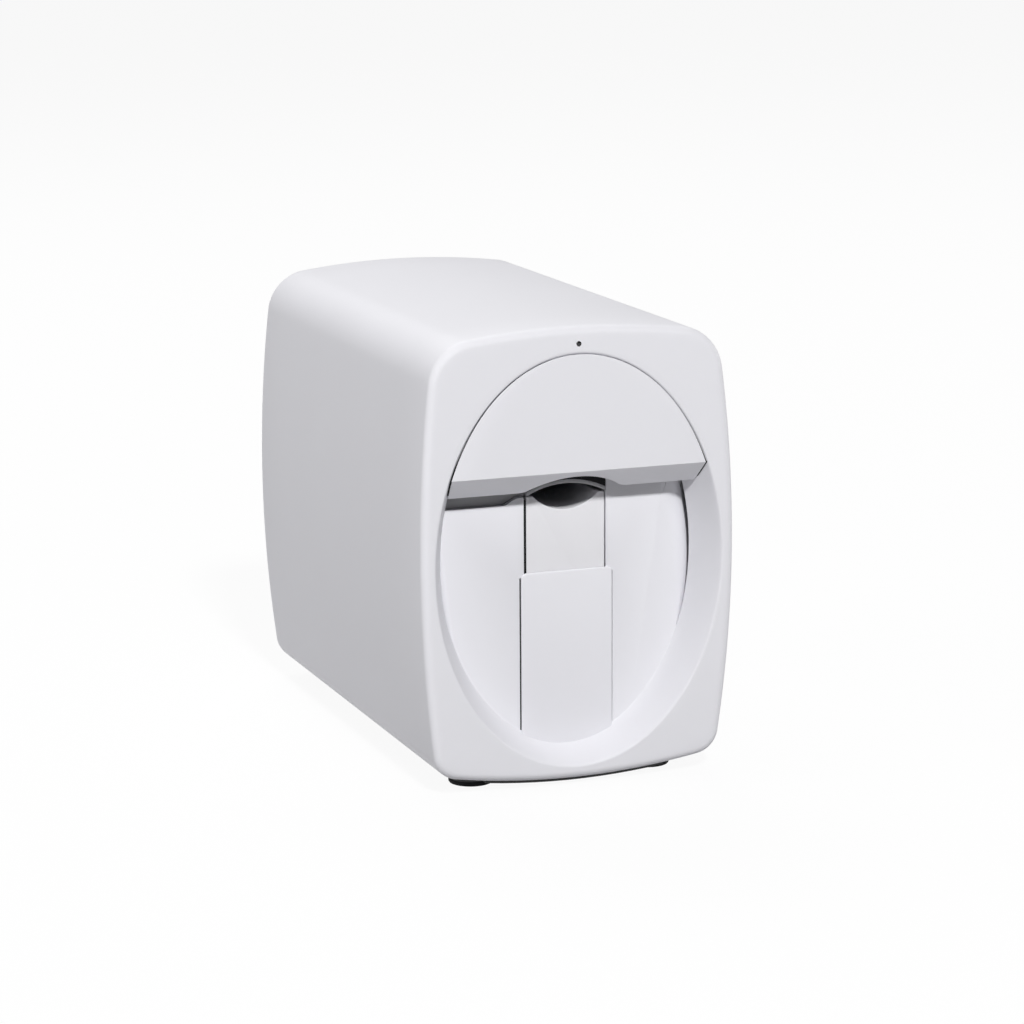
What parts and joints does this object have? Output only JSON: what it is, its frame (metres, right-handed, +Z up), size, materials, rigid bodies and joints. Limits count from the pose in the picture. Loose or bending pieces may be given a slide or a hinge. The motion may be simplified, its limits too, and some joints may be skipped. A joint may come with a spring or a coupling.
{
  "type": "digital nail art printer",
  "caption": "White tabletop nail printer with a scooped oval front, a pull-off upper cover, a sprung finger slide, an inkjet carriage inside and dark rubber feet.",
  "frame": {"origin": "bottom centre of the bounding box, on the surface the feet stand on", "axes": "+X to the right seen from the front, -Y out of the front face, +Z up"},
  "size_m": [0.109, 0.185, 0.153],
  "materials": {
    "white_shell": "fine satin",
    "white_inner": "fine satin",
    "dark_plastic": "matt",
    "grey_plastic": "matt",
    "steel": "ground",
    "aluminium": "rolled",
    "brass": "turned",
    "rubber": "matt",
    "board": "solder resist",
    "lens": "polished",
    "blue_plastic": "moulded",
    "cell_wrap": "film",
    "lamp": "diffusing"
  },
  "bodies": {
    "frame": {"housing": "white_shell", "dish": "white_shell", "catch_magnets": "steel", "indicator_lens": "lens", "slide_guides": "steel", "slide_springs": "steel", "finger_stop": "grey_plastic", "camera_module": "dark_plastic", "nail_lamp": "lamp", "rear_cover": "white_shell", "rear_screws": "steel", "power_switch": "dark_plastic", "dc_jack": "dark_plastic", "usb_port": "steel", "base_plate": "dark_plastic", "base_screws": "steel", "rubber_feet": "rubber", "deck": "aluminium", "deck_posts": "brass", "deck_screws": "steel", "rail_posts": "grey_plastic", "y_rails": "steel", "y_motor": "aluminium", "motor_bracket": "aluminium", "main_board": "board", "board_standoffs": "brass", "board_parts": "dark_plastic", "wifi_module": "steel", "battery_holder": "dark_plastic", "battery_cells": "cell_wrap", "driver_board": "board", "heat_sink": "aluminium"},
    "cover": {"front_cover": "white_shell", "cover_pegs": "steel", "cover_magnets": "steel"},
    "slide": {"finger_slide": "white_inner"},
    "button": {"power_button": "white_inner"},
    "bridge": {"bridge": "grey_plastic", "x_rods": "steel", "x_motor": "aluminium", "idler_pin": "steel", "x_belt": "rubber", "y_nut": "brass"},
    "carriage": {"carriage": "grey_plastic", "ink_cartridge": "dark_plastic", "nozzle_plate": "brass", "gate_pin": "steel"},
    "gate": {"cartridge_gate": "blue_plastic"},
    "belt_pulley": {"x_pulley": "aluminium"},
    "belt_idler": {"x_idler": "aluminium"},
    "lead_screw": {"lead_screw": "steel"}
  },
  "joints": [
    {"name": "cover_pull", "type": "slide", "parent": "frame", "child": "cover", "axis": [0, -1, 0], "range_m": [0, 0.012]},
    {"name": "finger_press", "type": "slide", "parent": "frame", "child": "slide", "axis": [0, 0, -1], "range_m": [0, 0.013], "stiffness_N_per_m": 120, "springref_m": -0.006, "deforming": ["slide_springs"]},
    {"name": "button_press", "type": "slide", "parent": "frame", "child": "button", "axis": [0, -1, 0], "range_m": [0, 0.001], "stiffness_N_per_m": 900, "springref_m": -0.001},
    {"name": "bridge_travel", "type": "slide", "parent": "frame", "child": "bridge", "axis": [0, -1, 0], "range_m": [0, 0.016]},
    {"name": "carriage_travel", "type": "slide", "parent": "bridge", "child": "carriage", "axis": [1, 0, 0], "range_m": [-0.01, 0.01]},
    {"name": "gate_swing", "type": "hinge", "parent": "carriage", "child": "gate", "pos_m": [0, -0.0505, 0.106], "axis": [1, 0, 0], "range_deg": [0, 60]},
    {"name": "pulley_spin", "type": "hinge", "parent": "bridge", "child": "belt_pulley", "pos_m": [0.0305, 0.0215, 0.1235], "axis": [0, 1, 0], "range_deg": [-120, 120]},
    {"name": "idler_spin", "type": "hinge", "parent": "bridge", "child": "belt_idler", "pos_m": [-0.0305, 0.0215, 0.1235], "axis": [0, 1, 0], "range_deg": [-120, 120]},
    {"name": "screw_spin", "type": "hinge", "parent": "frame", "child": "lead_screw", "pos_m": [0.034, 0.0075, 0.1085], "axis": [0, 1, 0], "range_deg": [-30, 990]}
  ],
  "couplings": [
    {"joint": "pulley_spin", "follows": "carriage_travel", "rad_per_m": -200},
    {"joint": "idler_spin", "follows": "carriage_travel", "rad_per_m": -200},
    {"joint": "screw_spin", "follows": "bridge_travel", "rad_per_m": 1047.2}
  ]
}
